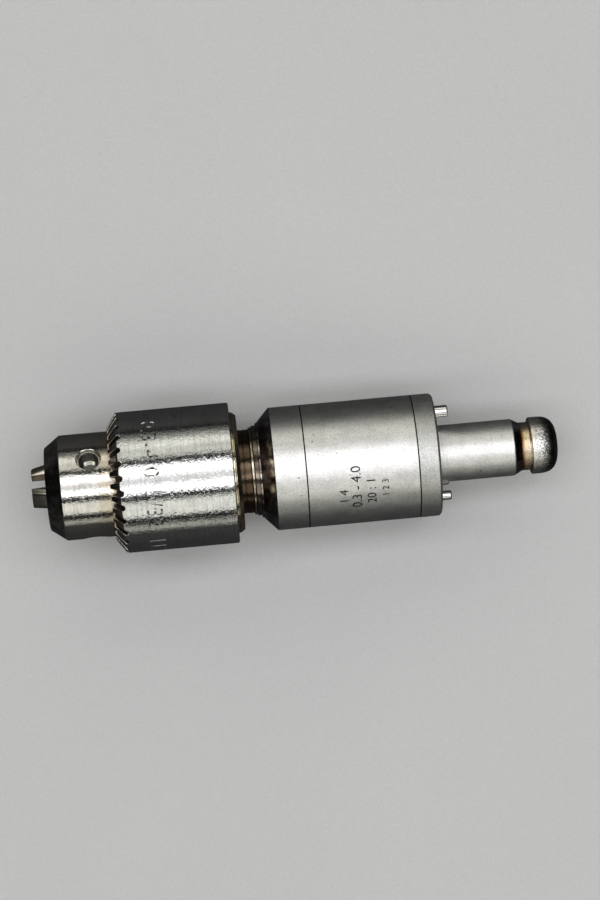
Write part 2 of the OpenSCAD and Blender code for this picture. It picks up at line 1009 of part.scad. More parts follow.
chuck_body();
jaw_1();
jaw_2();
jaw_3();
nut_half_a();
nut_half_b();
geared_sleeve();
spindle();
neck_collar();
output_planet_pins();
output_pin_plate();
seal_cap();
shaft_seal();
front_bearing_inner_race();
front_bearing_balls();
front_bearing_cage();
front_bearing_outer_race();
bearing_spacer_inner();
bearing_spacer_outer();
second_bearing_inner_race();
second_bearing_balls();
second_bearing_cage();
second_bearing_outer_race();
bearing_clamp_ring();
front_ring();
front_joint_seal();
housing_shell();
rear_joint_seal();
rear_ring();
ring_gear();
output_planet_1();
output_planet_2();
output_planet_3();
first_carrier();
first_planet_pins();
first_pin_plate();
first_planet_1();
first_planet_2();
first_planet_3();
input_shaft();
input_bearing_inner_race();
input_bearing_balls();
input_bearing_outer_race();
tail_bearing_inner_race();
tail_bearing_balls();
tail_bearing_outer_race();
locating_pin_large();
locating_pins_small();
coupling_shank();
coupling_head();
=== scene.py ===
"""Looks of the keyed drill chuck attachment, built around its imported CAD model.

Sizes are in millimetres and become metres where a mesh is made. X is the spindle axis, and an
angle around it is measured from +Z towards +Y, as in the CAD model.
"""
import json
import math

import bmesh
import bpy
import numpy as np
from mathutils import Matrix, Vector


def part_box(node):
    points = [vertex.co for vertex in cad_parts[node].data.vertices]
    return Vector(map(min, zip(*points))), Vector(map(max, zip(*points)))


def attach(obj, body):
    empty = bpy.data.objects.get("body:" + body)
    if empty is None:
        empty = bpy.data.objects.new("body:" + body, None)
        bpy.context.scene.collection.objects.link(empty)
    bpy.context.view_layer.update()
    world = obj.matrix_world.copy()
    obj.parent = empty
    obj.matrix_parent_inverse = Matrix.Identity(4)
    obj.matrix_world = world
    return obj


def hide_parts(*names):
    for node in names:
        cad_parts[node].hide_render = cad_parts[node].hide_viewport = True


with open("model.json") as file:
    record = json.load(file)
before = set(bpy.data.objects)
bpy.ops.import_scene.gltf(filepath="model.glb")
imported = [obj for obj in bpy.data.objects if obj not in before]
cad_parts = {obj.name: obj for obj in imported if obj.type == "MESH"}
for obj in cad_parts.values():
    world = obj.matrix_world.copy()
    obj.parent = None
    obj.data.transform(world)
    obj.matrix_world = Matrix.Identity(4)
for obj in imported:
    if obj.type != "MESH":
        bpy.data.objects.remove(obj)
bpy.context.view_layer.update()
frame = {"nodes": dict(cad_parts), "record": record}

MM = 0.001
SPIN_STEPS = 240
SAME_POINT = 1e-6
KEPT_NORMAL = "true_normal"
scene = bpy.context.scene


def span(node):
    """(first x, last x, largest radius) of a CAD node, in millimetres."""
    low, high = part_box(node)
    return low.x / MM, high.x / MM, max(high.y, high.z) / MM


NOSE_X, CHUCK_END, CHUCK_FLANGE_R = span("chuck_body")
SLEEVE_X, SLEEVE_END, SLEEVE_R = span("geared_sleeve")
COLLAR_X, COLLAR_END, COLLAR_R = span("neck_collar")
CAP_X, CAP_END, CAP_R = span("seal_cap")
LIP_X, FRONT_SPIGOT_END, HOUSING_R = span("front_ring")
SHELL_X, SHELL_END, _ = span("housing_shell")
REAR_SPIGOT_X, SEAT_X, _ = span("rear_ring")
SHANK_X, SHANK_END, SHANK_SPIGOT_R = span("coupling_shank")
HEAD_X, HEAD_END, HEAD_R = span("coupling_head")
MOUNT_DIMS = {mount["name"]: mount["dims"] for mount in frame["record"]["mounts"]}
SHANK_R = MOUNT_DIMS["coupling_shank"]["r_mm"]
SHANK_LEN = MOUNT_DIMS["coupling_shank"]["length_mm"]
KEY_R = MOUNT_DIMS["key_hole_1"]["r_mm"]


# ---------------------------------------------------------------- meshes

def around(x, radius, angle):
    """The point at a radius and an angle in degrees around the spindle axis."""
    a = math.radians(angle)
    return Vector((x, radius * math.sin(a), radius * math.cos(a)))


def outline(corners, closed=True, arc_steps=6):
    """Edges of an outline in (x, radius), as (point, normal, point, normal).

    corners are (x, radius) or (x, radius, rounding), clockwise with x to the right and radius up."""
    count = len(corners)
    points = [Vector(c[:2]) for c in corners]
    links = range(count if closed else count - 1)
    normals = []
    for i in links:
        way = (points[(i + 1) % count] - points[i]).normalized()
        normals.append(Vector((-way.y, way.x)))
    starts, ends, arcs = list(points), list(points), [[] for _ in points]
    for i, corner in enumerate(corners):
        rounding = corner[2] if len(corner) > 2 else 0
        if not rounding or (not closed and i in (0, count - 1)):
            continue
        before, after = normals[i - 1], normals[i]
        turn = before.angle_signed(after)
        cut = rounding * math.tan(abs(turn) / 2)
        way_in = Vector((before.y, -before.x))
        way_out = Vector((after.y, -after.x))
        starts[i] = points[i] - way_in * cut
        ends[i] = points[i] + way_out * cut
        side = 1 if turn > 0 else -1
        centre = starts[i] - before * rounding * side
        last = (starts[i], before)
        for step in range(1, arc_steps + 1):
            part = step / arc_steps
            normal = before.copy()
            normal.rotate(Matrix.Rotation(-turn * part, 2))
            here = (centre + normal * rounding * side, normal)
            arcs[i].append((last[0], last[1], here[0], here[1]))
            last = here
    edges = []
    for i in range(count):
        edges += arcs[i]
        if i in links:
            edges.append((ends[i], normals[i], starts[(i + 1) % count], normals[i]))
    return edges


def mesh_object(name, points, faces, normals=None):
    """A mesh object from points in millimetres, with an own normal for each face corner if given."""
    data = bpy.data.meshes.new(name)
    data.from_pydata([tuple(Vector(p) * MM) for p in points], [], faces)
    data.polygons.foreach_set("use_smooth", [True] * len(data.polygons))
    if normals is not None:
        keep_normals(data, normals)
    data.update()
    made = bpy.data.objects.new(name, data)
    scene.collection.objects.link(made)
    return made


def keep_normals(data, normals):
    """Stores corner normals as an attribute, which lives through a boolean, and shows them."""
    flat = np.array([tuple(n) for n in normals], np.float32)
    layer = data.attributes.get(KEPT_NORMAL)
    if layer is None:
        layer = data.attributes.new(KEPT_NORMAL, "FLOAT_VECTOR", "CORNER")
    layer.data.foreach_set("vector", flat.ravel())
    data.normals_split_custom_set(flat)


def lathe(name, edges, place=None, steps=SPIN_STEPS, inward=False):
    """Turns an outline about the X axis. place moves it, and inward turns its normals, as for a cutter."""
    index, points, faces, normals = {}, [], [], []

    def vertex(point, step):
        key = (round(point.x, 6), round(point.y, 6), 0 if point.y < SAME_POINT else step % steps)
        if key not in index:
            index[key] = len(points)
            points.append(around(point.x, point.y, key[2] * 360 / steps))
        return index[key]

    for p0, n0, p1, n1 in edges:
        if (p1 - p0).length < SAME_POINT:
            continue
        for step in range(steps):
            ring = [(p0, n0, step), (p1, n1, step), (p1, n1, step + 1), (p0, n0, step + 1)]
            face, corner_normals = [], []
            for point, normal, at in ring:
                v = vertex(point, at)
                if v not in face:
                    face.append(v)
                    corner_normals.append(around(normal.x, normal.y, at * 360 / steps))
            if len(face) > 2:
                faces.append(face)
                normals += corner_normals
    sign = -1 if inward else 1
    if place:
        points = [place @ p for p in points]
        turn = place.to_3x3()
        normals = [turn @ n for n in normals]
    return mesh_object(name, points, faces, [n * sign for n in normals])


def cut(piece, cutters):
    """Takes closed cutters out of a piece and keeps every surface's own normals."""
    for cutter in cutters:
        change = piece.modifiers.new("cut", "BOOLEAN")
        change.operation = "DIFFERENCE"
        change.solver = "EXACT"
        change.object = cutter
        bpy.context.view_layer.update()
        graph = bpy.context.evaluated_depsgraph_get()
        made = bpy.data.meshes.new_from_object(piece.evaluated_get(graph))
        if len(made.polygons) < len(piece.data.polygons) // 2:
            raise ValueError("the cut with %s took most of %s away" % (cutter.name, piece.name))
        piece.modifiers.clear()
        piece.data = made
        bpy.data.objects.remove(cutter)
    layer = piece.data.attributes[KEPT_NORMAL]
    flat = np.zeros(len(piece.data.loops) * 3, np.float32)
    layer.data.foreach_get("vector", flat)
    piece.data.normals_split_custom_set(flat.reshape(-1, 3))
    return piece


def stand_in(piece, body, slot, *nodes):
    """piece rides on a body, in place of the CAD nodes that are named."""
    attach(piece, body)
    if nodes:
        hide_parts(*nodes)
    return piece


# ---------------------------------------------------------------- materials

class Look:
    """A node material, with short words for the nodes it needs."""

    def __init__(self, name, roughness, metallic=1.0):
        self.material = bpy.data.materials.new(name)
        self.material.use_nodes = True
        self.tree = self.material.node_tree
        self.shader = self.tree.nodes["Principled BSDF"]
        self.shader.inputs["Metallic"].default_value = metallic
        self.shader.inputs["Roughness"].default_value = roughness
        here = self.node("ShaderNodeTexCoord").outputs["Object"]
        self.place = self.scaled(here, (1 / MM, 1 / MM, 1 / MM))
        self.x = self.node("ShaderNodeSeparateXYZ", self.place).outputs[0]

    def node(self, kind, *values, **settings):
        """A new node with its first inputs filled in order and its settings made."""
        made = self.tree.nodes.new(kind)
        for key, value in settings.items():
            setattr(made, key, value)
        for socket, value in zip(made.inputs, values):
            self.put(socket, value)
        return made

    def put(self, socket, value):
        if isinstance(value, bpy.types.NodeSocket):
            self.tree.links.new(value, socket)
        elif value is not None:
            socket.default_value = value

    def fill(self, node, **values):
        """Sets or links a node's inputs by name."""
        for name, value in values.items():
            self.put(node.inputs[name], value)
        return node

    def set(self, name, value):
        self.put(self.shader.inputs[name], value)

    def math(self, operation, a, b=0.0, clamp=False):
        return self.node("ShaderNodeMath", a, b, operation=operation, use_clamp=clamp).outputs[0]

    def scaled(self, vector, factors):
        return self.node("ShaderNodeVectorMath", vector, factors, operation="MULTIPLY").outputs[0]

    def stretched(self, along, across):
        """Coordinates in millimetres, scaled along the spindle axis and across it."""
        return self.scaled(self.place, (along, across, across))

    def noise(self, vector, scale=1.0, detail=2.0, roughness=0.5):
        made = self.node("ShaderNodeTexNoise")
        self.fill(made, Vector=vector, Scale=scale, Detail=detail, Roughness=roughness)
        return made.outputs[0]

    def between(self, value, low, high, low_out=0.0, high_out=1.0):
        """A smooth step of value from low to high."""
        made = self.node("ShaderNodeMapRange", value, low, high, low_out, high_out)
        made.interpolation_type = "SMOOTHSTEP"
        return made.outputs[0]

    def mix(self, share, a, b):
        made = self.node("ShaderNodeMix", data_type="RGBA")
        for index, value in ((0, share), (6, a), (7, b)):
            self.put(made.inputs[index], value)
        return made.outputs[2]

    def bump(self, height, depth):
        """Bump of a depth in millimetres."""
        made = self.fill(self.node("ShaderNodeBump"), Height=height, Distance=depth * MM, Strength=1.0)
        self.set("Normal", made.outputs[0])

    def marked(self, name):
        """A mesh's own mask, from 0 to 1."""
        return self.node("ShaderNodeAttribute", attribute_name=name).outputs["Fac"]


def rgb(red, green, blue):
    return (red, green, blue, 1.0)


# Near black for nicks, grime in joints, and painted shade in recesses and gaps.
DIRT_AND_SHADE = rgb(0.018, 0.013, 0.009)
BROWN = rgb(0.30, 0.17, 0.07)
# Cream for worn edges that are painted bright as highlights.
WORN_AND_HIGHLIGHT = rgb(0.92, 0.88, 0.80)
GOLD = rgb(0.68, 0.58, 0.42)
# Dark brown painted shade: on the body under the sleeve and in the corner at the head's rim.
PAINTED_SHADE = rgb(0.10, 0.06, 0.03)
POLISHED_ROUGHNESS = 0.13
WIDE_TINT = 1.0


def steel_colour(look, base, speckle, streaky, clouds, streaks, specks):
    """Base colour with darker clouds and turning lines, and lighter and darker grain."""
    threads = look.noise(look.stretched(5.5, 0.3), detail=2.0, roughness=0.6)
    darker = tuple(c * 0.55 for c in base[:3]) + (1.0,)
    brighter = tuple(min(1.0, c * 1.25) for c in base[:3]) + (1.0,)
    colour = look.mix(look.between(clouds, 0.25, 0.7, 0.6, 1.0), darker, base)
    colour = look.mix(look.between(streaks, 0.5, 0.72, 0.0, streaky), colour, darker)
    colour = look.mix(look.between(threads, 0.48, 0.66, 0.0, streaky), colour, darker)
    colour = look.mix(look.between(specks, 0.46, 0.34, 0.0, speckle), colour, brighter)
    return look.mix(look.between(specks, 0.54, 0.66, 0.0, speckle), colour, darker)


def tinted(look, colour, tints, break_up, clouds, specks):
    """Colour with tints along the axis, patchy with the clouds. Wide ones have a broken edge."""
    broken_x = look.math("ADD", look.x, look.math("MULTIPLY", look.math("SUBTRACT", specks, 0.5), break_up))
    for start, end, tint, share in tints:
        wide = break_up and abs(end - start) > WIDE_TINT
        rise = look.between(broken_x if wide else look.x, start, end)
        least = share * (0.85 if wide else 0.25)
        patchy = look.math("MULTIPLY", rise, look.between(clouds, 0.3, 0.62, least, share))
        colour = look.mix(patchy, colour, tint)
    return colour


def steel(name, base, roughness, lines=0.0, waves=0.0, grain=0.0, grain_scale=3.0, speckle=0.15,
          streaky=0.3, smudge=0.04, tints=(), break_up=0.0, polished=None):
    """Steel with turning lines around the axis, slight waves, blasted grain, smudges, grime with painted
    shade, and worn edges painted bright as highlights.

    lines, waves and grain are bump depths in millimetres. speckle and streaky are how much the grain
    and the turning lines change the colour, and smudge how much the roughness varies. tints are
    (from x, to x, colour, share), and the grain breaks up the edge of a wide one by break_up
    millimetres. polished is (from x, to x): the surface turns smooth from one to the other."""
    look = Look(name, roughness)
    turned = look.noise(look.stretched(14.0, 0.25), detail=4.0, roughness=0.7)
    ripple = look.noise(look.stretched(2.6, 2.0), detail=3.0, roughness=0.6)
    specks = look.noise(look.place, grain_scale, 3.0, 0.6)
    clouds = look.noise(look.stretched(0.35, 0.5), detail=4.0, roughness=0.6)
    streaks = look.noise(look.stretched(2.2, 0.12), detail=4.0, roughness=0.6)
    nicks = look.noise(look.stretched(1.1, 1.7), detail=1.0)

    # Edges in the wear mask are worn, and painted bright as highlights.
    worn_and_highlight = look.math("MULTIPLY", look.marked("wear_and_highlight"), look.between(specks, 0.6, 0.4, 0.3, 1.0), clamp=True)
    # The dirt mask darkens grime in the housing's joints and paints shade into key holes, gullets, bores and
    # gaps.
    dirt_and_shade = look.math("MULTIPLY", look.marked("dirt_and_shade"), look.between(specks, 0.1, 0.5, 0.85, 1.0), clamp=True)
    colour = steel_colour(look, base, speckle, streaky, clouds, streaks, specks)
    colour = tinted(look, colour, tints, break_up, clouds, specks)
    colour = look.mix(worn_and_highlight, colour, WORN_AND_HIGHLIGHT)
    colour = look.mix(look.between(nicks, 0.755, 0.785, 0.0, 0.6), colour, DIRT_AND_SHADE)
    look.set("Base Color", look.mix(dirt_and_shade, colour, DIRT_AND_SHADE))

    rough = look.math("ADD", look.math("MULTIPLY", clouds, 2 * smudge), roughness - smudge)
    rough = look.math("ADD", rough, look.math("MULTIPLY", look.math("SUBTRACT", streaks, 0.5), smudge))
    rough = look.math("ADD", rough, look.math("MULTIPLY", worn_and_highlight, 0.25))
    blasted = look.math("MULTIPLY", specks, grain)
    if polished:
        coarse = look.between(look.x, polished[1], polished[0])
        smooth = look.math("MULTIPLY", POLISHED_ROUGHNESS, look.math("SUBTRACT", 1.0, coarse))
        rough = look.math("ADD", look.math("MULTIPLY", rough, coarse), smooth)
        blasted = look.math("MULTIPLY", blasted, coarse)
    look.set("Roughness", look.math("ADD", rough, look.math("MULTIPLY", dirt_and_shade, 0.4), clamp=True))
    height = look.math("ADD", look.math("MULTIPLY", turned, lines), blasted)
    look.bump(look.math("ADD", height, look.math("MULTIPLY", ripple, waves)), 1.0)
    return look.material


def rubber(name):
    look = Look(name, 0.6, 0.0)
    specks = look.noise(look.place, 6.0, 4.0)
    look.set("Base Color", look.mix(specks, rgb(0.012, 0.012, 0.012), rgb(0.04, 0.038, 0.036)))
    look.bump(specks, 0.01)
    return look.material


def bronze(name):
    look = Look(name, 0.35)
    clouds = look.noise(look.place, 0.8, 4.0)
    look.set("Base Color", look.mix(clouds, rgb(0.36, 0.22, 0.08), rgb(0.66, 0.46, 0.20)))
    look.bump(look.noise(look.stretched(14.0, 0.3), detail=3.0), 0.01)
    return look.material


# Places along the axis where a surface changes, shared by the shapes and the materials
CONE_END = NOSE_X + 2.45
RING_X, RING_END = COLLAR_X + 1.75, COLLAR_X + 2.15
TAPER_END = LIP_X + 2.3
RIM_X = SHANK_END + 1.5

MATERIALS = {
    "sleeve_steel": steel(
        "sleeve_steel", rgb(0.76, 0.76, 0.75), 0.09, lines=0.002, waves=0.036, grain=0.002,
        tints=((SLEEVE_X + 2.1, SLEEVE_X + 0.9, BROWN, 0.5),
               (SLEEVE_X + 1.3, SLEEVE_X + 0.8, rgb(0.12, 0.07, 0.03), 0.35))),
    "chuck_steel": steel(
        "chuck_steel", rgb(0.76, 0.74, 0.69), 0.09, lines=0.002, waves=0.032, grain=0.002, break_up=2.5,
        tints=((SLEEVE_X - 3.0, SLEEVE_X - 0.6, rgb(0.56, 0.42, 0.22), 0.4),
               # Painted shade on the body under the sleeve's teeth.
               (SLEEVE_X - 0.1, SLEEVE_X + 1.3, PAINTED_SHADE, 0.9),
               (CHUCK_END - 1.2, CHUCK_END - 0.9, GOLD, 1.0),
               # Painted dark reflection: the nose and its cone are painted near black.
               (CONE_END - 0.1, CONE_END - 0.2, rgb(0.10, 0.085, 0.08), 0.9))),
    "jaw_steel": steel("jaw_steel", rgb(0.50, 0.46, 0.38), 0.28, lines=0.004, grain=0.006),
    "neck_steel": steel(
        "neck_steel", rgb(0.105, 0.075, 0.05), 0.17, lines=0.004, waves=0.025,
        tints=((RING_X - 0.05, RING_X - 0.01, rgb(0.62, 0.54, 0.44), 1.0),
               (RING_END + 0.03, RING_END + 0.07, rgb(0.085, 0.065, 0.05), 1.0))),
    "housing_steel": steel(
        "housing_steel", rgb(0.84, 0.83, 0.82), 0.31, lines=0.002, grain=0.05, grain_scale=4.5,
        speckle=0.5, streaky=0.1,
        # Painted dark reflection: the polished lip and front cone are painted near black.
        tints=((TAPER_END + 0.06, TAPER_END, rgb(0.10, 0.075, 0.07), 1.0),),
        polished=(TAPER_END + 0.06, TAPER_END)),
    "rear_steel": steel(
        "rear_steel", rgb(0.66, 0.655, 0.64), 0.42, lines=0.002, grain=0.05, grain_scale=4.5,
        speckle=0.6, streaky=0.1),
    "shank_steel": steel(
        "shank_steel", rgb(0.85, 0.84, 0.83), 0.38, lines=0.005, grain=0.05, grain_scale=4.5,
        speckle=0.5, streaky=0.1,
        # Painted shade: the start of the chamfer is painted near black.
        tints=((SHANK_LEN + 0.1, SHANK_LEN + 0.25, rgb(0.07, 0.06, 0.06), 1.0),
               (SHANK_LEN + 0.8, SHANK_END, rgb(0.30, 0.15, 0.05), 0.9)),
        polished=(SHANK_LEN + 0.05, SHANK_LEN + 0.2)),
    "head_steel": steel(
        "head_steel", rgb(0.86, 0.85, 0.83), 0.26, lines=0.003, grain=0.05, grain_scale=4.5,
        speckle=0.8, smudge=0.08, break_up=4.0,
        # Painted dark reflection: the end of the dome is painted near black.
        tints=((HEAD_END - 3.3, HEAD_END - 1.6, rgb(0.03, 0.028, 0.027), 1.0),
               # Painted highlight: the rounded rim is painted cream.
               (RIM_X + 0.65, RIM_X + 0.25, rgb(0.95, 0.87, 0.72), 1.0),
               # Painted shade: a dark line in the groove's corner at the rim.
               (RIM_X + 0.02, RIM_X - 0.02, PAINTED_SHADE, 1.0),
               (RIM_X - 0.16, RIM_X - 0.24, rgb(0.80, 0.64, 0.42), 1.0),
               (RIM_X - 0.9, RIM_X - 1.4, rgb(0.20, 0.09, 0.03), 1.0))),
    "pin_steel": steel("pin_steel", rgb(0.86, 0.85, 0.83), 0.10, lines=0.002),
    "dark_steel": steel("dark_steel", rgb(0.22, 0.21, 0.20), 0.35, grain=0.004),
    "inner_steel": steel("inner_steel", rgb(0.56, 0.56, 0.56), 0.25, lines=0.004),
    "cage_bronze": bronze("cage_bronze"),
    "seal_rubber": rubber("seal_rubber"),
    "etched": steel("etched", rgb(0.26, 0.18, 0.10), 0.45, grain=0.03, speckle=0.6),
}


def paint(piece, name):
    piece.data.materials.clear()
    piece.data.materials.append(MATERIALS[name])
    return piece


# Every CAD node starts with its slot's material. The rebuilt pieces get their own below
for part in frame["record"]["subparts"]:
    paint(frame["nodes"][part["node"]], part["material_slot"])


# ---------------------------------------------------------------- chuck

def tilted(angle, point, tilt):
    """Places a cutter that is made along +X.

    It goes to an angle around the axis and to a point (x, radius), and leans outwards by tilt."""
    return (Matrix.Rotation(math.radians(-angle), 4, "X")
            @ Matrix.Translation((point[0], 0, point[1]))
            @ Matrix.Rotation(math.radians(-tilt), 4, "Y"))


CHUCK_R = 8.3
FLANGE_X = CHUCK_END - 0.8
JAW_TILT = 14.0
JAW_ANGLES = [90.6, -29.4, -149.4]
JAW_HOLE_R = 2.05
JAW_AXIS_R0 = 1.92
JAW_HOLE_START, JAW_HOLE_END = -6.0, 22.7
KEY_ANGLES = [30.6, 150.6, 270.6]
KEY_X = NOSE_X + 7.0
KEY_FLOOR_R = 4.3
KEY_STEP = 0.9
KEY_STEP_OUT = 0.18
KEY_UNSHADED = 0.5
KEY_MOUTH = 0.25
CUTTER_STEPS = 72


def chuck_body():
    """Body with a rounded cone, a groove for the nut, a flange, three key holes and three jaw holes."""
    land_r, nut_floor_r, spindle_bore_r, tool_bore_r = 9.55, 5.6, 1.2, 2.2
    nut_x, nut_end = NOSE_X + 12.9, NOSE_X + 18.1
    taper_x, taper_small_r, taper_large_r = CHUCK_END - 11.2, 2.905, 3.175
    bore_end = NOSE_X + 17.0
    piece = lathe("chuck_body_turned", outline([
        (NOSE_X, 2.55, 0.1), (NOSE_X, 6.5, 0.25), (CONE_END, CHUCK_R, 0.12), (SLEEVE_X - 0.3, CHUCK_R),
        (SLEEVE_X - 0.02, CHUCK_R), (nut_x, CHUCK_R), (nut_x, nut_floor_r), (nut_end, nut_floor_r),
        (nut_end, land_r), (FLANGE_X, land_r), (FLANGE_X, CHUCK_FLANGE_R, 0.12),
        (CHUCK_END, CHUCK_FLANGE_R - 0.6, 0.1), (CHUCK_END, taper_large_r), (taper_x, taper_small_r),
        (taper_x, spindle_bore_r), (bore_end, spindle_bore_r), (bore_end, tool_bore_r),
        (NOSE_X + 0.35, tool_bore_r),
    ]))
    cut(piece, [key_cutter(angle) for angle in KEY_ANGLES] + [jaw_cutter(angle) for angle in JAW_ANGLES])
    # Painted shade in the key holes, under the sleeve and inside the flange.
    mask(piece, "dirt_and_shade", chuck_painted_shade)
    # Key hole mouths: worn, and painted bright as a highlight.
    mask(piece, "wear_and_highlight", chuck_wear_and_highlight)
    return stand_in(paint(piece, "chuck_steel"), "output", "chuck_steel", "chuck_body")


def jaw_cutter(angle):
    slope = math.radians(JAW_TILT)
    length = (JAW_HOLE_END - JAW_HOLE_START) / math.cos(slope)
    low = JAW_AXIS_R0 + JAW_HOLE_START * math.tan(slope)
    rod = outline([(0, 0), (0, JAW_HOLE_R), (length, JAW_HOLE_R), (length, 0)], closed=False)
    return lathe("jaw_cutter", rod, tilted(angle, (NOSE_X + JAW_HOLE_START, low), JAW_TILT),
                 steps=CUTTER_STEPS, inward=True)


def key_cutter(angle):
    """Cutter for a key hole: a flared mouth, a shallow step below it, and a flat floor.

    Its extra rings, on the floor and up the wall, keep the edge of the painted shade sharp."""
    depth = CHUCK_R - KEY_FLOOR_R
    ledge = depth - KEY_STEP
    wide_r = KEY_R + KEY_STEP_OUT
    return lathe("key_cutter", outline([
        (0, 0), (0, 0.4), (0, 0.8), (0, 1.2), (0, KEY_R), (KEY_UNSHADED, KEY_R), (KEY_UNSHADED + 0.2, KEY_R),
        (ledge - 0.15, KEY_R), (ledge, KEY_R), (ledge, wide_r, 0.05), (ledge + 0.12, wide_r),
        (depth - 0.32, wide_r), (depth - KEY_MOUTH, wide_r, 0.04), (depth - 0.08, KEY_R + 0.38, 0.1),
        (depth + 0.6, KEY_R + 0.7), (depth + 0.6, 0),
    ], closed=False), tilted(angle, (KEY_X, KEY_FLOOR_R), 90), steps=CUTTER_STEPS, inward=True)


def store_mask(data, name, values):
    """Stores a mask from 0 to 1 with a value for each point."""
    layer = data.attributes.new(name, "FLOAT", "POINT")
    layer.data.foreach_set("value", values)


def mask(piece, name, rule):
    """Stores a mask by a rule of (x, radius, angle) in millimetres and degrees."""
    values = []
    for vertex in piece.data.vertices:
        x, y, z = vertex.co / MM
        values.append(rule(x, math.hypot(y, z), math.degrees(math.atan2(y, z))))
    store_mask(piece.data, name, values)


def at_key_holes(x):
    return KEY_X - 4 < x < KEY_X + 2.5


def chuck_painted_shade(x, radius, angle):
    """Painted shade on the key holes' walls, less on the step and almost none near the floor, and a little
    under the sleeve and inside the flange.
    """
    if x > FLANGE_X - 0.02:
        return 0.25 if radius < 9 else 0.0
    if at_key_holes(x) and radius < CHUCK_R - KEY_MOUTH:
        off = min(abs((angle - hole + 180) % 360 - 180) for hole in KEY_ANGLES)
        height = radius * math.cos(math.radians(off))
        if height < KEY_FLOOR_R + KEY_UNSHADED + 0.05 and abs(x - KEY_X) < 0.85:
            return 0.05
        return 0.2 if abs(height - CHUCK_R + KEY_STEP) < 0.06 else 0.88
    return 0.15 if x > SLEEVE_X - 0.1 else 0.0


def chuck_wear_and_highlight(x, radius, angle):
    """Key hole mouths are worn, and painted bright as a highlight."""
    return 1.0 if at_key_holes(x) and CHUCK_R - KEY_MOUTH < radius < CHUCK_R - 0.01 else 0.0


# ---------------------------------------------------------------- sleeve

TOOTH_COUNT = 30
FIRST_GULLET = 3.4
GULLET_HALF = 0.5
GULLET_FLARE = 0.12
FLOOR_STEPS = [0, 0.22, 0.44, 0.62, 0.78, 0.9, 1.0]
WALL_STEPS = [0.3, 0.6, 0.8, 0.93, 1.0]
LIP = 0.11
LIP_STEPS = [0.012, 0.035, 0.065, 0.11]
LAND_STEPS = [0.25, 0.5, 0.75]
SLEEVE_BORE_R = 8.36
NUT_BORE_R = 9.6


def sleeve_profile():
    """Front of the sleeve from its bore to its rim, as (radius, x of the tooth, x of the gullet's floor)."""
    bore_r, tip_r, bevel, floor_x, floor_rise, edge_width = SLEEVE_BORE_R, 8.95, 1.5, 0.9, 1.14, 0.09
    radii = [bore_r, bore_r + 0.05, 8.55, tip_r - 0.06, tip_r, tip_r + 0.06, 9.3, 9.8, 10.3, 10.7,
             SLEEVE_R - edge_width, SLEEVE_R - 0.05, SLEEVE_R - 0.02, SLEEVE_R]
    rows = []
    for radius in radii:
        tooth = SLEEVE_X + max(0.0, radius - tip_r) / (SLEEVE_R - tip_r) * bevel
        if abs(radius - tip_r) < 0.01:
            tooth += 0.015
        floor = SLEEVE_X + floor_x + (radius - bore_r) / (SLEEVE_R - bore_r) * floor_rise
        edge = max(0.0, edge_width - (SLEEVE_R - radius))
        rows.append((radius, tooth + edge * edge * 9, floor + edge * edge * 6))
    return rows


def gullet_half(tooth, floor):
    """One side of a gullet at one radius, as (millimetres from its middle, x).

    It has a round floor, a flared wall and a rounded lip."""
    centre = floor - GULLET_HALF
    points = []
    for part in FLOOR_STEPS:
        a = math.radians(90 * part)
        points.append((GULLET_HALF * math.sin(a), centre + GULLET_HALF * math.cos(a)))
    top = tooth + min(LIP, max(0.0, floor - tooth))
    rise = max(0.0, centre - top)
    for part in WALL_STEPS:
        points.append((GULLET_HALF + rise * part * GULLET_FLARE, centre - rise * part))
    wall = GULLET_HALF + rise * GULLET_FLARE
    for step in LIP_STEPS:
        lip = LIP - math.sqrt(max(0.0, LIP ** 2 - (LIP - step) ** 2))
        points.append((wall + step, tooth + min(lip, top - tooth)))
    return [(t, max(x, top) if t <= wall else x) for t, x in points]


def sleeve_front_row(radius, tooth, floor):
    """(points, mask) once around the sleeve at one radius of its toothed front. The mask is grime and
    painted shade, darker deeper in each gullet.
    """
    points, dirt_and_shade = [], []
    pitch = 360 / TOOTH_COUNT
    half = gullet_half(tooth, floor)
    reach = math.degrees(half[-1][0] / radius)
    near = [(-t, x) for t, x in reversed(half[1:])] + half
    for k in range(TOOTH_COUNT):
        middle = FIRST_GULLET + k * pitch
        ring = [(middle + math.degrees(t / radius), x) for t, x in near]
        ring += [(middle + reach + part * (pitch - 2 * reach), tooth) for part in LAND_STEPS]
        for angle, x in ring:
            points.append(around(x, radius, angle))
            # Grime and painted shade, darker deeper in each gullet, and none on the outer edge.
            dirt_and_shade.append(min(1.0, max(0.0, (x - tooth - 0.06) / 0.3)) if radius < SLEEVE_R - 0.03 else 0.0)
    return points, dirt_and_shade


def plain_row(x, radius):
    """The same columns as a toothed row, at one x."""
    _, tooth, floor = sleeve_profile()[-1]
    points, _ = sleeve_front_row(SLEEVE_R, tooth, floor)
    return [Vector((x, p.y * radius / SLEEVE_R, p.z * radius / SLEEVE_R)) for p in points]


def sleeve_plain():
    """The outline behind the teeth, as (x, radius): along the outside and back along the bore."""
    after_teeth = SLEEVE_X + 2.3
    edge = 0.25
    plain = [(after_teeth - 0.1, SLEEVE_R), (after_teeth, SLEEVE_R), (SLEEVE_END - edge - 0.3, SLEEVE_R)]
    for step in range(7):
        a = math.radians(15 * step)
        plain.append((SLEEVE_END - edge + edge * math.sin(a), SLEEVE_R - edge + edge * math.cos(a)))
    return plain + [
        (SLEEVE_END, SLEEVE_R - edge - 0.05), (SLEEVE_END, NUT_BORE_R + 0.06),
        (SLEEVE_END - 0.06, NUT_BORE_R), (SLEEVE_END - 0.15, NUT_BORE_R), (NOSE_X + 13.0, NUT_BORE_R),
        (NOSE_X + 12.99, SLEEVE_BORE_R), (SLEEVE_X + 1.2, SLEEVE_BORE_R),
    ]


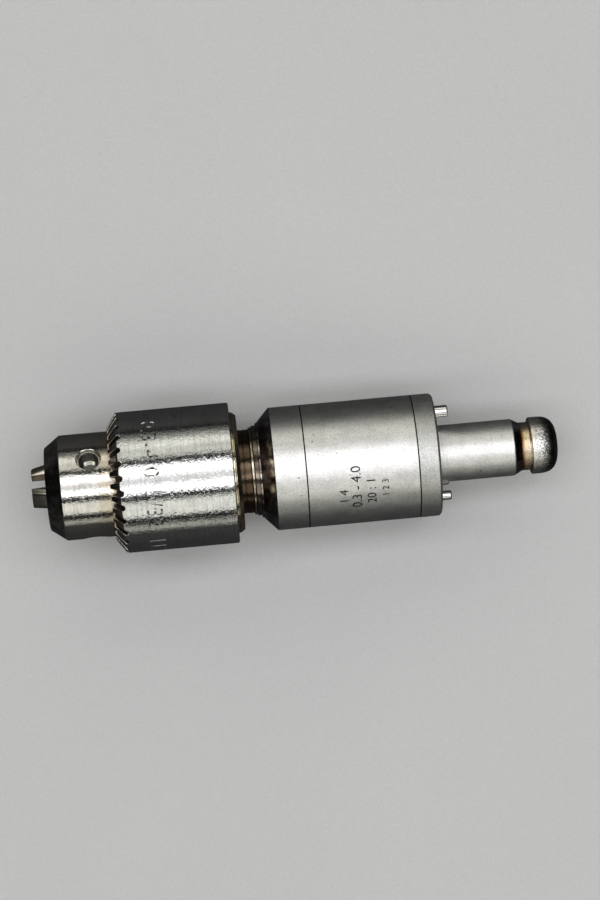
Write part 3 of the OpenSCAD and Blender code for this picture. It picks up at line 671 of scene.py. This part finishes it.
def rows_object(name, rows):
    """A closed mesh of rings that have equally many points, with the last joined to the first."""
    width, faces = len(rows[0]), []
    for i in range(len(rows)):
        j = (i + 1) % len(rows)
        for c in range(width):
            d = (c + 1) % width
            faces.append((i * width + c, j * width + c, j * width + d, i * width + d))
    return mesh_object(name, [point for row in rows for point in row], faces)


def geared_sleeve():
    """Toothed sleeve with gullets darkened by grime and painted shade, tooth edges worn and painted bright
    as highlights, and pressed numerals.
    """
    rows, dirt_and_shade, wear_and_highlight = [], [], []
    for radius, tooth, floor in sleeve_profile():
        points, marks = sleeve_front_row(radius, tooth, floor)
        rows.append(points)
        dirt_and_shade += marks
        # Just inside each gullet's lip, the edge is worn and painted bright as a highlight.
        wear_and_highlight += [1.0 if 0.005 < value < 0.4 else 0.0 for value in marks]
    for x, radius in sleeve_plain():
        rows.append(plain_row(x, radius))
        # The sleeve's bore is painted dark as shade.
        dirt_and_shade += [1.0 if radius < NUT_BORE_R - 0.1 else 0.0] * len(rows[-1])
        wear_and_highlight += [0.0] * len(rows[-1])
    piece = rows_object("geared_sleeve_cut", rows)
    store_mask(piece.data, "dirt_and_shade", dirt_and_shade)
    store_mask(piece.data, "wear_and_highlight", wear_and_highlight)
    piece.data.set_sharp_from_angle(angle=math.radians(42))
    keep_normals(piece.data, [c.vector.copy() for c in piece.data.corner_normals])
    size, x, pressed, clear = 3.6, SLEEVE_X + 6.4, -0.12, 0.2
    cut(piece, [stamp(words, size, x, angle, SLEEVE_R, pressed, clear, width=1.05)
                for words, angle in SLEEVE_MARKS])
    return stand_in(paint(piece, "sleeve_steel"), "sleeve", "sleeve_steel", "geared_sleeve")


# ---------------------------------------------------------------- numerals

# The range of tool sizes, in millimetres and in inches, with each mark's angle around the sleeve
SLEEVE_MARKS = [("0.3-4.0", 29), ("5/32", -24), ("117", -68), ("0.3-4.0", 165), ("5/32", 225)]
# The housing's marks: numerals, size, x and angle
HOUSING_MARKS = [("1 4", 2.0, -15.3, -33), ("0.3 - 4.0", 2.2, -13.3, -25), ("20 : 1", 2.0, -11.0, -29),
                 ("1 2 3", 1.5, -8.8, -27)]
SLICE = 0.3


def stamp(words, size, x, angle, radius, low, high, toward_nose=False, width=1.0):
    """A closed solid of numerals bent around the axis, from low to high over a radius.

    Their tops point to the coupling, or to the nose. It is cut into slices of SLICE across, so that it
    bends, and its kept normals are those of a cutter."""
    text = bpy.data.curves.new("numerals", "FONT")
    text.body = words
    text.size = size
    text.align_x, text.align_y = "CENTER", "CENTER"
    text.extrude = (high - low) / 2
    text.resolution_u = 4
    text.space_character = width
    holder = bpy.data.objects.new("numerals", text)
    data = bpy.data.meshes.new_from_object(holder)
    bpy.data.objects.remove(holder)
    work = bmesh.new()
    work.from_mesh(data)
    bmesh.ops.remove_doubles(work, verts=work.verts, dist=1e-4)
    slices = int(max(abs(v.co.x) for v in work.verts) / SLICE)
    for step in range(-slices, slices + 1):
        bmesh.ops.bisect_plane(work, geom=work.verts[:] + work.edges[:] + work.faces[:],
                               plane_co=(step * SLICE, 0, 0), plane_no=(1, 0, 0), dist=1e-5)
    side = -1 if toward_nose else 1
    for vertex in work.verts:
        across, up, out = vertex.co
        turn = angle - side * math.degrees(across / radius)
        vertex.co = around(x + side * up, radius + (low + high) / 2 + out, turn) * MM
    bmesh.ops.recalc_face_normals(work, faces=work.faces)
    work.to_mesh(data)
    work.free()
    made = bpy.data.objects.new("numerals", data)
    scene.collection.objects.link(made)
    keep_normals(data, [-p.normal for p in data.polygons for _ in p.loop_indices])
    # The numerals' cut faces come out a little darker.
    store_mask(data, "dirt_and_shade", [0.35] * len(data.vertices))
    return made


# ---------------------------------------------------------------- neck and housing

FRONT_BORE_R = 5.9


def neck_collar():
    """Rotating collar behind the chuck, with a fine line and a thin ring in front of the seal cap."""
    neck_r, hub_r, bore_r = 6.6, 4.4, 3.5
    line_r = neck_r - 0.09
    piece = lathe("neck_collar_turned", outline([
        (COLLAR_X, bore_r), (COLLAR_X, neck_r, 0.1), (COLLAR_X + 0.5, neck_r, 0.05),
        (COLLAR_X + 0.56, line_r, 0.04), (COLLAR_X + 0.68, line_r, 0.04), (COLLAR_X + 0.74, neck_r, 0.05),
        (COLLAR_X + 1.65, neck_r, 0.06), (RING_X, neck_r - 0.15), (RING_X, COLLAR_R, 0.12),
        (RING_END, COLLAR_R, 0.12), (RING_END, hub_r), (COLLAR_END, hub_r), (COLLAR_END, bore_r),
    ]))
    return stand_in(paint(piece, "neck_steel"), "output", "neck_steel", "neck_collar")


def seal_cap():
    """Thin ring that closes the housing's front around the collar."""
    bore_r = 4.55
    piece = lathe("seal_cap_turned", outline([
        (CAP_X, bore_r), (CAP_X, CAP_R, 0.12), (LIP_X, CAP_R, 0.05), (LIP_X, FRONT_BORE_R),
        (CAP_END, FRONT_BORE_R), (CAP_END, bore_r),
    ]))
    return stand_in(paint(piece, "neck_steel"), "housing", "neck_steel", "seal_cap")


SMALL_RACE_R = 3
SEAL_HALF = 0.4
BORE_R = 8.2
SEAL_FLOOR_R = 7.5
EDGE_ROUND = 0.12


def joint_dirt(x, radius, angle):
    """Dark dirt in the two joint lines of the housing."""
    near = min(abs(x - SHELL_X), abs(x - SHELL_END)) < EDGE_ROUND
    return 1.0 if near and radius < HOUSING_R - 0.002 else 0.0


def seal_groove(middle):
    """Corners of the groove that an O-ring lies in."""
    return [(middle - SEAL_HALF, BORE_R), (middle - SEAL_HALF, SEAL_FLOOR_R),
            (middle + SEAL_HALF, SEAL_FLOOR_R), (middle + SEAL_HALF, BORE_R)]


def front_ring():
    """Tapered front of the housing: a thin lip, a step, a cone, then the plain ring and its spigot."""
    lip_r, race_r = 7.5, 6.5
    race_x, seal_x = LIP_X + 2.8, SHELL_X + 2.1
    piece = lathe("front_ring_turned", outline([
        (LIP_X, FRONT_BORE_R), (LIP_X, lip_r, 0.1), (LIP_X + 0.3, lip_r, 0.04), (LIP_X + 0.4, 7.7, 0.08),
        (TAPER_END, HOUSING_R, 0.12), (SHELL_X, HOUSING_R, EDGE_ROUND), (SHELL_X, BORE_R),
        *seal_groove(seal_x), (FRONT_SPIGOT_END, BORE_R), (FRONT_SPIGOT_END, race_r), (race_x, race_r),
        (race_x, FRONT_BORE_R),
    ]))
    mask(piece, "dirt_and_shade", joint_dirt)
    return stand_in(paint(piece, "housing_steel"), "housing", "housing_steel", "front_ring")


def housing_shell():
    """Plain middle of the housing."""
    piece = lathe("housing_shell_turned", outline([
        (SHELL_X, BORE_R), (SHELL_X, HOUSING_R, EDGE_ROUND), (SHELL_END, HOUSING_R, EDGE_ROUND),
        (SHELL_END, BORE_R),
    ]))
    mask(piece, "dirt_and_shade", joint_dirt)
    return stand_in(paint(piece, "housing_steel"), "housing", "housing_steel", "housing_shell")


# Locating pins: angle around the axis and radius, largest first
PIN_CIRCLE = 7.3
PINS = [(66, 0.925), (246, 0.75), (216, 0.75)]
PIN_SEAT_EXTRA = 0.3
PIN_DEPTH = 2.4
PIN_STEPS = 64


def rear_ring():
    """Rear ring with a rounded rim, and holes for the input bearing, the shank and the pins' seats."""
    spigot_r, shank_hole_r = BORE_R - 1.2, SHANK_SPIGOT_R + 0.04
    bearing_x, bearing_stop_r = -3, 2.4
    piece = lathe("rear_ring_turned", outline([
        (REAR_SPIGOT_X, spigot_r), (REAR_SPIGOT_X, BORE_R), *seal_groove(SHELL_END - 1.2),
        (SHELL_END, BORE_R), (SHELL_END, HOUSING_R, EDGE_ROUND), (-0.34, HOUSING_R, 0.15),
        (0, HOUSING_R - 0.32, 0.15), (0, shank_hole_r, 0.04), (SHANK_X, shank_hole_r),
        (SHANK_X, SMALL_RACE_R), (bearing_x, SMALL_RACE_R), (bearing_x, bearing_stop_r),
        (SHELL_END, bearing_stop_r), (SHELL_END, spigot_r),
    ]))
    cut(piece, [pin_cutter(angle, radius + PIN_SEAT_EXTRA) for angle, radius in PINS])
    mask(piece, "dirt_and_shade", joint_dirt)
    return stand_in(paint(piece, "rear_steel"), "housing", "housing_steel", "rear_ring")


def pin_cutter(angle, hole_r):
    hole = outline([(-PIN_DEPTH, 0), (-PIN_DEPTH, hole_r), (-0.05, hole_r), (0, hole_r + 0.05),
                    (0.5, hole_r + 0.05), (0.5, 0)], closed=False)
    return lathe("pin_cutter", hole, at_pin(angle), steps=PIN_STEPS, inward=True)


def at_pin(angle):
    """Places a piece that is turned about the X axis on a pin's own axis."""
    return Matrix.Rotation(math.radians(-angle), 4, "X") @ Matrix.Translation((0, 0, PIN_CIRCLE))


def locating_pin(name, angle, radius):
    """Pin with a rounded tip, in a thicker seat pressed into the rear ring."""
    out, seat_r = 2.2, radius + PIN_SEAT_EXTRA
    return lathe(name, outline([
        (-PIN_DEPTH, 0), (-PIN_DEPTH, seat_r), (-0.02, seat_r, 0.05), (-0.02, radius, 0.03),
        (out, radius, 0.28), (out, 0),
    ], closed=False), at_pin(angle), steps=PIN_STEPS)


def locating_pins():
    large = locating_pin("locating_pin_large_turned", *PINS[0])
    stand_in(paint(large, "pin_steel"), "housing", "pin_steel", "locating_pin_large")
    for number, pin in enumerate(PINS[1:], 1):
        small = locating_pin("locating_pin_small_%d" % number, *pin)
        stand_in(paint(small, "pin_steel"), "housing", "pin_steel", "locating_pins_small")


# ---------------------------------------------------------------- shank and head

GROOVE_R = 3.8
SHANK_BORE_R = 2


def coupling_shank():
    """Straight shank with its spigot in the rear ring, up to the latch groove."""
    tail_bearing_x = 9.0
    piece = lathe("coupling_shank_turned", outline([
        (SHANK_X, SHANK_BORE_R), (SHANK_X, SHANK_SPIGOT_R), (-0.03, SHANK_SPIGOT_R, 0.04),
        (-0.03, SHANK_R, 0.03), (SHANK_LEN, SHANK_R, 0.12), (SHANK_END, GROOVE_R),
        (SHANK_END, SMALL_RACE_R), (tail_bearing_x, SMALL_RACE_R), (tail_bearing_x, SHANK_BORE_R),
    ]))
    return stand_in(paint(piece, "shank_steel"), "housing", "shank_steel", "coupling_shank")


def coupling_head():
    """Groove, short rim and blunt dome of the head, with its open bore."""
    mouth_r, power, dome_steps, hex_end = 1.7, 2 / 3.1, 48, 17.6
    dome_x = RIM_X + 0.9
    last = math.acos((mouth_r / HEAD_R) ** (1 / power))
    length = (HEAD_END - dome_x) / math.sin(last) ** power
    dome = []
    for step in range(dome_steps + 1):
        a = last * step / dome_steps
        dome.append((dome_x + length * math.sin(a) ** power, HEAD_R * math.cos(a) ** power))
    edges = outline([
        (HEAD_X, SHANK_BORE_R), (HEAD_X, SMALL_RACE_R), (SHANK_END, SMALL_RACE_R),
        (SHANK_END, GROOVE_R, 0.05), (RIM_X, GROOVE_R), (RIM_X, HEAD_R, 0.2),
        *dome, (hex_end, mouth_r), (hex_end, SHANK_BORE_R),
    ])
    piece = lathe("coupling_head_turned", smoothed(edges, 20))
    return stand_in(paint(piece, "head_steel"), "housing", "head_steel", "coupling_head")


def smoothed(edges, limit):
    """Shares the normals of edges that meet at less than limit degrees, as along a dome."""
    def corner(point):
        return round(point.x, 5), round(point.y, 5)

    ends = {}
    for p0, n0, p1, n1 in edges:
        for point, normal in ((p0, n0), (p1, n1)):
            ends.setdefault(corner(point), []).append(normal)

    def shared(point, normal):
        near = [n for n in ends[corner(point)] if n.angle(normal) < math.radians(limit)]
        return sum(near, Vector((0, 0))).normalized()

    return [(p0, shared(p0, n0), p1, shared(p1, n1)) for p0, n0, p1, n1 in edges]


# ---------------------------------------------------------------- jaws and marks

def jaws():
    """Ground edges on the CAD jaws, so that they catch the light."""
    for number in (1, 2, 3):
        jaw = frame["nodes"]["jaw_%d" % number]
        weld = jaw.modifiers.new("weld", "WELD")
        weld.merge_threshold = 0.001 * MM
        bevel = jaw.modifiers.new("edges", "BEVEL")
        bevel.width = 0.06 * MM
        bevel.segments = 2
        bevel.limit_method = "ANGLE"
        bevel.angle_limit = math.radians(40)
        bevel.harden_normals = True


def housing_marks():
    """Etched index numerals in short lines around the housing: generic numbers only."""
    sunk, proud = -0.06, 0.012
    for number, (words, size, x, angle) in enumerate(HOUSING_MARKS, 1):
        mark = stamp(words, size, x, angle, HOUSING_R, sunk, proud, toward_nose=True)
        mark.name = "housing_mark_%d" % number
        mark.data.attributes.remove(mark.data.attributes[KEPT_NORMAL])
        mark.data.normals_split_custom_set([(0, 0, 0)] * len(mark.data.loops))
        mark.data.attributes.remove(mark.data.attributes["dirt_and_shade"])
        stand_in(paint(mark, "etched"), "housing", "dark_steel")


chuck_body()
geared_sleeve()
neck_collar()
seal_cap()
front_ring()
housing_shell()
rear_ring()
locating_pins()
coupling_shank()
coupling_head()
jaws()
housing_marks()


# ---------------------------------------------------------------- studio

def floor():
    """Pale floor that the sleeve and the housing both rest on, so it tilts a little along the axis.

    The metal mirrors it as dark, as the photograph's own dark ground shows in it."""
    slope = (SLEEVE_R - HOUSING_R) / (SEAT_X - SLEEVE_END)
    size = 2200
    points = []
    for x, y in ((-size, -size), (size, -size), (size, size), (-size, size)):
        points.append((x, y, slope * (x - SLEEVE_END) - SLEEVE_R))
    plane = mesh_object("floor", points, [(0, 1, 2, 3)])
    look = Look("floor_paper", 0.85, 0.0)
    specks = look.noise(look.place, 2.5, 4.0, 0.65)
    broad = look.noise(look.place, 0.02, 3.0)
    pale = look.mix(specks, rgb(0.60, 0.60, 0.61), rgb(0.72, 0.72, 0.73))
    pale = look.mix(look.between(broad, 0.3, 0.7, 0.0, 0.12), pale, rgb(0.55, 0.55, 0.57))
    mirrored = look.node("ShaderNodeLightPath").outputs["Is Glossy Ray"]
    look.set("Base Color", look.mix(mirrored, pale, rgb(0.025, 0.025, 0.027)))
    look.bump(specks, 0.08)
    plane.data.materials.append(look.material)


# Soft panels around the spindle axis, by their angles from straight overhead towards +Y: from, to,
# radiance, and how blue next to red and green. Overhead, a dimmer one lies between two bright ones.
PANELS = [
    (8, 23.5, 2.6, 1.0), (-8, 8, 0.95, 1.0), (-20, -8, 2.6, 1.0),
    (37, 48, 0.80, 0.90), (48, 53, 0.65, 0.90), (53, 66, 1.05, 0.90),
    (66, 73, 0.45, 0.90), (73, 81, 0.20, 0.90),
    (-61, -33, 0.95, 0.92), (-88, -76, 0.42, 0.88),
]
PANEL_DISTANCE = 0.7
PANEL_LENGTH = 1.2


def studio():
    """Panels that each face the middle of the object, and a dim room behind them."""
    middle = Vector((-0.021, 0, 0))
    for number, (start, end, radiance, blue) in enumerate(PANELS, 1):
        angle = math.radians((start + end) / 2)
        light = bpy.data.lights.new("panel_%d" % number, "AREA")
        light.shape = "RECTANGLE"
        light.size = PANEL_LENGTH
        light.size_y = 2 * PANEL_DISTANCE * math.tan(math.radians((end - start) / 2))
        light.energy = radiance * math.pi * light.size * light.size_y
        light.color = (1, 1, blue)
        lamp = bpy.data.objects.new(light.name, light)
        scene.collection.objects.link(lamp)
        lamp.location = middle + PANEL_DISTANCE * Vector((0, math.sin(angle), math.cos(angle)))
        lamp.rotation_euler = (-angle, 0, 0)
    world = bpy.data.worlds.new("studio")
    scene.world = world
    world.use_nodes = True
    background = world.node_tree.nodes["Background"]
    background.inputs["Color"].default_value = rgb(0.35, 0.36, 0.38)
    background.inputs["Strength"].default_value = 0.05
    scene.view_settings.view_transform = "Standard"


def camera():
    """Camera nearly straight overhead, turned and tilted a little, as in the photograph."""
    turn, tilt, distance = math.radians(5.2), math.radians(2.0), 0.442
    aim = Vector((-21.3, 2.6, 0)) * MM
    look = Vector((math.sin(tilt), 0, -math.cos(tilt)))
    up = Vector((math.sin(turn), math.cos(turn), 0))
    up = (up - look * up.dot(look)).normalized()
    right = look.cross(up)
    data = bpy.data.cameras.new("camera")
    data.lens = 112
    data.sensor_width = 36
    data.clip_start = 0.01
    eye = bpy.data.objects.new("camera", data)
    scene.collection.objects.link(eye)
    pose = Matrix((right, up, -look)).transposed().to_4x4()
    pose.translation = aim - look * distance
    eye.matrix_world = pose
    scene.camera = eye


floor()
studio()
camera()
